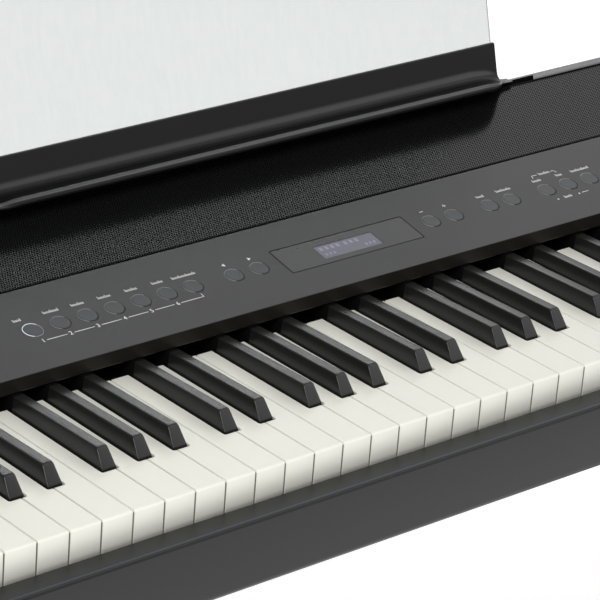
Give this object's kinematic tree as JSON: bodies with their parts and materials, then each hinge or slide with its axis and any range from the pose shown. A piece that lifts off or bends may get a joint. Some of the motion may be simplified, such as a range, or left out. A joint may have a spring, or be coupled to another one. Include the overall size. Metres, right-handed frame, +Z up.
{
  "type": "digital piano on stand",
  "caption": "Full-length digital piano with sprung keys, push buttons, a display and a clear music rest, fixed on a two-sided board stand.",
  "frame": {"origin": "on the floor, in the middle of the stand's footprint", "axes": "+X along the keyboard to the high notes, +Y from the player to the back, +Z up"},
  "size_m": [1.291, 0.414, 0.9528],
  "materials": {
    "case_black": "fine satin, charcoal",
    "panel_grey": "satin, dark grey",
    "grille_black": "finely ribbed and pierced, satin black",
    "rail_grey": "satin, charcoal",
    "rest_black": "satin black",
    "rest_clear": "clear acrylic sheet with polished edges",
    "key_white": "smooth ivory white",
    "key_black": "matte black with a soft sheen",
    "button_grey": "satin, blue-grey",
    "window_smoke": "smoked clear plastic",
    "display_module": "dark grey with a pale screen",
    "board_green": "green lacquered board",
    "speaker_cone": "black",
    "chassis_plastic": "grey moulded plastic",
    "stand_board": "black laminated board",
    "stand_metal": "black powder coat"
  },
  "bodies": {
    "case_and_stand": {"bottom_case": "case_black", "key_slip": "case_black", "end_block_left": "case_black", "end_block_right": "case_black", "control_panel": "panel_grey", "speaker_grille": "grille_black", "rear_cover": "rail_grey", "jack_plate": "case_black", "key_chassis": "chassis_plastic", "circuit_board": "board_green", "display_module": "display_module", "display_window": "window_smoke", "speaker_left": "speaker_cone", "speaker_right": "speaker_cone", "side_panel_left": "stand_board", "side_panel_right": "stand_board", "foot_left": "stand_board", "foot_right": "stand_board", "back_board": "stand_board", "support_rail": "stand_metal"},
    "music_rest": {"music_rest_base": "rest_black", "music_rest_panel": "rest_clear"},
    "white_keys_a0_b1": {"white_keys_a0_b1": "key_white"},
    "black_keys_a0_b1": {"black_keys_a0_b1": "key_black"},
    "white_keys_c2_b3": {"white_keys_c2_b3": "key_white"},
    "black_keys_c2_b3": {"black_keys_c2_b3": "key_black"},
    "white_keys_c5_b6": {"white_keys_c5_b6": "key_white"},
    "black_keys_c5_b6": {"black_keys_c5_b6": "key_black"},
    "white_keys_c7_c8": {"white_keys_c7_c8": "key_white"},
    "black_keys_c7_c8": {"black_keys_c7_c8": "key_black"},
    "white_key_c_4": {"white_key_c_4": "key_white"},
    "black_key_c_sharp_4": {"black_key_c_sharp_4": "key_black"},
    "white_key_d_4": {"white_key_d_4": "key_white"},
    "black_key_d_sharp_4": {"black_key_d_sharp_4": "key_black"},
    "white_key_e_4": {"white_key_e_4": "key_white"},
    "white_key_f_4": {"white_key_f_4": "key_white"},
    "black_key_f_sharp_4": {"black_key_f_sharp_4": "key_black"},
    "white_key_g_4": {"white_key_g_4": "key_white"},
    "black_key_g_sharp_4": {"black_key_g_sharp_4": "key_black"},
    "white_key_a_4": {"white_key_a_4": "key_white"},
    "black_key_a_sharp_4": {"black_key_a_sharp_4": "key_black"},
    "white_key_b_4": {"white_key_b_4": "key_white"},
    "tone_button_1": {"tone_button_1": "button_grey"},
    "tone_button_2": {"tone_button_2": "button_grey"},
    "tone_button_3": {"tone_button_3": "button_grey"},
    "tone_button_4": {"tone_button_4": "button_grey"},
    "tone_button_5": {"tone_button_5": "button_grey"},
    "tone_button_6": {"tone_button_6": "button_grey"},
    "tone_button_7": {"tone_button_7": "button_grey"},
    "page_button_1": {"page_button_1": "button_grey"},
    "page_button_2": {"page_button_2": "button_grey"},
    "value_button_1": {"value_button_1": "button_grey"},
    "value_button_2": {"value_button_2": "button_grey"},
    "menu_button_1": {"menu_button_1": "button_grey"},
    "menu_button_2": {"menu_button_2": "button_grey"},
    "song_button_1": {"song_button_1": "button_grey"},
    "song_button_2": {"song_button_2": "button_grey"},
    "song_button_3": {"song_button_3": "button_grey"},
    "power_button": {"power_button": "button_grey"},
    "volume_slider": {"volume_slider": "button_grey"}
  },
  "joints": [
    {"name": "music_rest_lift", "type": "slide", "parent": "case_and_stand", "child": "music_rest", "axis": [0, 0, 1], "range_m": [0, 0.05]},
    {"name": "white_keys_a0_b1_press", "type": "hinge", "parent": "case_and_stand", "child": "white_keys_a0_b1", "pos_m": [-0.50525, 0.065, 0.706], "axis": [1, 0, 0], "range_deg": [0, 2.6], "stiffness_Nm_per_rad": 5.4, "springref_deg": -21.2},
    {"name": "black_keys_a0_b1_press", "type": "hinge", "parent": "case_and_stand", "child": "black_keys_a0_b1", "pos_m": [-0.50135, 0.076, 0.731], "axis": [1, 0, 0], "range_deg": [0, 3.1], "stiffness_Nm_per_rad": 2.4, "springref_deg": -21.2},
    {"name": "white_keys_c2_b3_press", "type": "hinge", "parent": "case_and_stand", "child": "white_keys_c2_b3", "pos_m": [-0.235, 0.065, 0.706], "axis": [1, 0, 0], "range_deg": [0, 2.6], "stiffness_Nm_per_rad": 8.4, "springref_deg": -21.2},
    {"name": "black_keys_c2_b3_press", "type": "hinge", "parent": "case_and_stand", "child": "black_keys_c2_b3", "pos_m": [-0.23425, 0.076, 0.731], "axis": [1, 0, 0], "range_deg": [0, 3.1], "stiffness_Nm_per_rad": 4, "springref_deg": -21.2},
    {"name": "white_keys_c5_b6_press", "type": "hinge", "parent": "case_and_stand", "child": "white_keys_c5_b6", "pos_m": [0.2585, 0.065, 0.706], "axis": [1, 0, 0], "range_deg": [0, 2.6], "stiffness_Nm_per_rad": 8.4, "springref_deg": -21.2},
    {"name": "black_keys_c5_b6_press", "type": "hinge", "parent": "case_and_stand", "child": "black_keys_c5_b6", "pos_m": [0.25925, 0.076, 0.731], "axis": [1, 0, 0], "range_deg": [0, 3.1], "stiffness_Nm_per_rad": 4, "springref_deg": -21.2},
    {"name": "white_keys_c7_c8_press", "type": "hinge", "parent": "case_and_stand", "child": "white_keys_c7_c8", "pos_m": [0.517, 0.065, 0.706], "axis": [1, 0, 0], "range_deg": [0, 2.6], "stiffness_Nm_per_rad": 4.8, "springref_deg": -21.2},
    {"name": "black_keys_c7_c8_press", "type": "hinge", "parent": "case_and_stand", "child": "black_keys_c7_c8", "pos_m": [0.506, 0.076, 0.731], "axis": [1, 0, 0], "range_deg": [0, 3.1], "stiffness_Nm_per_rad": 2, "springref_deg": -21.2},
    {"name": "white_key_c_4_press", "type": "hinge", "parent": "case_and_stand", "child": "white_key_c_4", "pos_m": [-0.05875, 0.065, 0.706], "axis": [1, 0, 0], "range_deg": [0, 2.6], "stiffness_Nm_per_rad": 0.6, "springref_deg": -21.2},
    {"name": "black_key_c_sharp_4_press", "type": "hinge", "parent": "case_and_stand", "child": "black_key_c_sharp_4", "pos_m": [-0.0494, 0.076, 0.731], "axis": [1, 0, 0], "range_deg": [0, 3.1], "stiffness_Nm_per_rad": 0.4, "springref_deg": -21.2},
    {"name": "white_key_d_4_press", "type": "hinge", "parent": "case_and_stand", "child": "white_key_d_4", "pos_m": [-0.03525, 0.065, 0.706], "axis": [1, 0, 0], "range_deg": [0, 2.6], "stiffness_Nm_per_rad": 0.6, "springref_deg": -21.2},
    {"name": "black_key_d_sharp_4_press", "type": "hinge", "parent": "case_and_stand", "child": "black_key_d_sharp_4", "pos_m": [-0.0211, 0.076, 0.731], "axis": [1, 0, 0], "range_deg": [0, 3.1], "stiffness_Nm_per_rad": 0.4, "springref_deg": -21.2},
    {"name": "white_key_e_4_press", "type": "hinge", "parent": "case_and_stand", "child": "white_key_e_4", "pos_m": [-0.01175, 0.065, 0.706], "axis": [1, 0, 0], "range_deg": [0, 2.6], "stiffness_Nm_per_rad": 0.6, "springref_deg": -21.2},
    {"name": "white_key_f_4_press", "type": "hinge", "parent": "case_and_stand", "child": "white_key_f_4", "pos_m": [0.01175, 0.065, 0.706], "axis": [1, 0, 0], "range_deg": [0, 2.6], "stiffness_Nm_per_rad": 0.6, "springref_deg": -21.2},
    {"name": "black_key_f_sharp_4_press", "type": "hinge", "parent": "case_and_stand", "child": "black_key_f_sharp_4", "pos_m": [0.0196, 0.076, 0.731], "axis": [1, 0, 0], "range_deg": [0, 3.1], "stiffness_Nm_per_rad": 0.4, "springref_deg": -21.2},
    {"name": "white_key_g_4_press", "type": "hinge", "parent": "case_and_stand", "child": "white_key_g_4", "pos_m": [0.03525, 0.065, 0.706], "axis": [1, 0, 0], "range_deg": [0, 2.6], "stiffness_Nm_per_rad": 0.6, "springref_deg": -21.2},
    {"name": "black_key_g_sharp_4_press", "type": "hinge", "parent": "case_and_stand", "child": "black_key_g_sharp_4", "pos_m": [0.047, 0.076, 0.731], "axis": [1, 0, 0], "range_deg": [0, 3.1], "stiffness_Nm_per_rad": 0.4, "springref_deg": -21.2},
    {"name": "white_key_a_4_press", "type": "hinge", "parent": "case_and_stand", "child": "white_key_a_4", "pos_m": [0.05875, 0.065, 0.706], "axis": [1, 0, 0], "range_deg": [0, 2.6], "stiffness_Nm_per_rad": 0.6, "springref_deg": -21.2},
    {"name": "black_key_a_sharp_4_press", "type": "hinge", "parent": "case_and_stand", "child": "black_key_a_sharp_4", "pos_m": [0.0744, 0.076, 0.731], "axis": [1, 0, 0], "range_deg": [0, 3.1], "stiffness_Nm_per_rad": 0.4, "springref_deg": -21.2},
    {"name": "white_key_b_4_press", "type": "hinge", "parent": "case_and_stand", "child": "white_key_b_4", "pos_m": [0.08225, 0.065, 0.706], "axis": [1, 0, 0], "range_deg": [0, 2.6], "stiffness_Nm_per_rad": 0.6, "springref_deg": -21.2},
    {"name": "tone_button_1_press", "type": "slide", "parent": "case_and_stand", "child": "tone_button_1", "axis": [0, 0.1994, -0.9799], "range_m": [0, 0.001], "stiffness_N_per_m": 150, "springref_m": -0.001},
    {"name": "tone_button_2_press", "type": "slide", "parent": "case_and_stand", "child": "tone_button_2", "axis": [0, 0.1994, -0.9799], "range_m": [0, 0.001], "stiffness_N_per_m": 150, "springref_m": -0.001},
    {"name": "tone_button_3_press", "type": "slide", "parent": "case_and_stand", "child": "tone_button_3", "axis": [0, 0.1994, -0.9799], "range_m": [0, 0.001], "stiffness_N_per_m": 150, "springref_m": -0.001},
    {"name": "tone_button_4_press", "type": "slide", "parent": "case_and_stand", "child": "tone_button_4", "axis": [0, 0.1994, -0.9799], "range_m": [0, 0.001], "stiffness_N_per_m": 150, "springref_m": -0.001},
    {"name": "tone_button_5_press", "type": "slide", "parent": "case_and_stand", "child": "tone_button_5", "axis": [0, 0.1994, -0.9799], "range_m": [0, 0.001], "stiffness_N_per_m": 150, "springref_m": -0.001},
    {"name": "tone_button_6_press", "type": "slide", "parent": "case_and_stand", "child": "tone_button_6", "axis": [0, 0.1994, -0.9799], "range_m": [0, 0.001], "stiffness_N_per_m": 150, "springref_m": -0.001},
    {"name": "tone_button_7_press", "type": "slide", "parent": "case_and_stand", "child": "tone_button_7", "axis": [0, 0.1994, -0.9799], "range_m": [0, 0.001], "stiffness_N_per_m": 150, "springref_m": -0.001},
    {"name": "page_button_1_press", "type": "slide", "parent": "case_and_stand", "child": "page_button_1", "axis": [0, 0.1994, -0.9799], "range_m": [0, 0.001], "stiffness_N_per_m": 150, "springref_m": -0.001},
    {"name": "page_button_2_press", "type": "slide", "parent": "case_and_stand", "child": "page_button_2", "axis": [0, 0.1994, -0.9799], "range_m": [0, 0.001], "stiffness_N_per_m": 150, "springref_m": -0.001},
    {"name": "value_button_1_press", "type": "slide", "parent": "case_and_stand", "child": "value_button_1", "axis": [0, 0.1994, -0.9799], "range_m": [0, 0.001], "stiffness_N_per_m": 150, "springref_m": -0.001},
    {"name": "value_button_2_press", "type": "slide", "parent": "case_and_stand", "child": "value_button_2", "axis": [0, 0.1994, -0.9799], "range_m": [0, 0.001], "stiffness_N_per_m": 150, "springref_m": -0.001},
    {"name": "menu_button_1_press", "type": "slide", "parent": "case_and_stand", "child": "menu_button_1", "axis": [0, 0.1994, -0.9799], "range_m": [0, 0.001], "stiffness_N_per_m": 150, "springref_m": -0.001},
    {"name": "menu_button_2_press", "type": "slide", "parent": "case_and_stand", "child": "menu_button_2", "axis": [0, 0.1994, -0.9799], "range_m": [0, 0.001], "stiffness_N_per_m": 150, "springref_m": -0.001},
    {"name": "song_button_1_press", "type": "slide", "parent": "case_and_stand", "child": "song_button_1", "axis": [0, 0.1994, -0.9799], "range_m": [0, 0.001], "stiffness_N_per_m": 150, "springref_m": -0.001},
    {"name": "song_button_2_press", "type": "slide", "parent": "case_and_stand", "child": "song_button_2", "axis": [0, 0.1994, -0.9799], "range_m": [0, 0.001], "stiffness_N_per_m": 150, "springref_m": -0.001},
    {"name": "song_button_3_press", "type": "slide", "parent": "case_and_stand", "child": "song_button_3", "axis": [0, 0.1994, -0.9799], "range_m": [0, 0.001], "stiffness_N_per_m": 150, "springref_m": -0.001},
    {"name": "power_button_press", "type": "slide", "parent": "case_and_stand", "child": "power_button", "axis": [0, 0.1994, -0.9799], "range_m": [0, 0.001], "stiffness_N_per_m": 150, "springref_m": -0.001},
    {"name": "volume_slide", "type": "slide", "parent": "case_and_stand", "child": "volume_slider", "axis": [1, 0, 0], "range_m": [-0.02, 0.02]}
  ]
}
